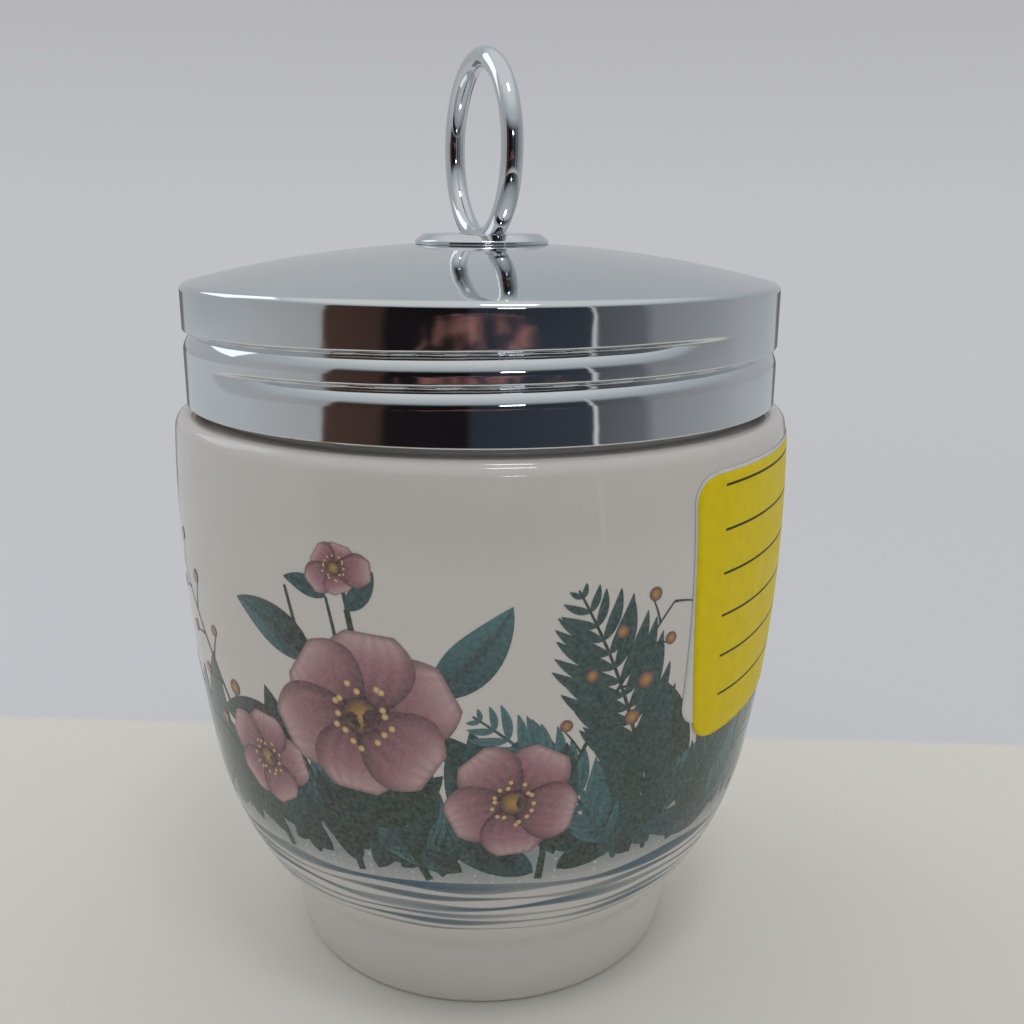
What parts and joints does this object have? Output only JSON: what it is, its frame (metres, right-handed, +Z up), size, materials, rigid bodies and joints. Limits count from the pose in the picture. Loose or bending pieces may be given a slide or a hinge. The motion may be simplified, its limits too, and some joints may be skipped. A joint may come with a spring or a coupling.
{
  "type": "egg coddler",
  "caption": "Glazed porcelain egg coddler: a footed cup with a screw neck, closed by a plated metal screw lid with a fixed lifting ring on its low dome.",
  "frame": {"origin": "middle of the foot's underside, on the surface that the cup stands on", "axes": "+Z up along the cup's and the lid's common axis, through the lifting ring; -Y is the front, from which the picture was taken, and +X is its right, where the label is"},
  "size_m": [0.0716, 0.0714, 0.1056],
  "materials": {
    "porcelain": "gloss glaze",
    "lid_plate": "mirror",
    "ring_plate": "mirror",
    "washer_brass": "satin",
    "label_paper": "satin"
  },
  "bodies": {
    "cup": {"porcelain_cup": "porcelain", "price_label": "label_paper"},
    "lid_rider": {"backing_washer": "washer_brass"},
    "lid": {"lid_shell": "lid_plate", "ring_collar": "ring_plate", "lifting_ring": "ring_plate"}
  },
  "joints": [
    {"name": "lid_rise", "type": "slide", "parent": "cup", "child": "lid_rider", "axis": [0, 0, 1], "range_m": [0, 0.01651]},
    {"name": "lid_turn", "type": "hinge", "parent": "lid_rider", "child": "lid", "pos_m": [0, 0, 0], "axis": [0, 0, 1], "range_deg": [0, 1980]}
  ],
  "couplings": [
    {"joint": "lid_rise", "follows": "lid_turn", "m_per_rad": 0.00047746}
  ]
}
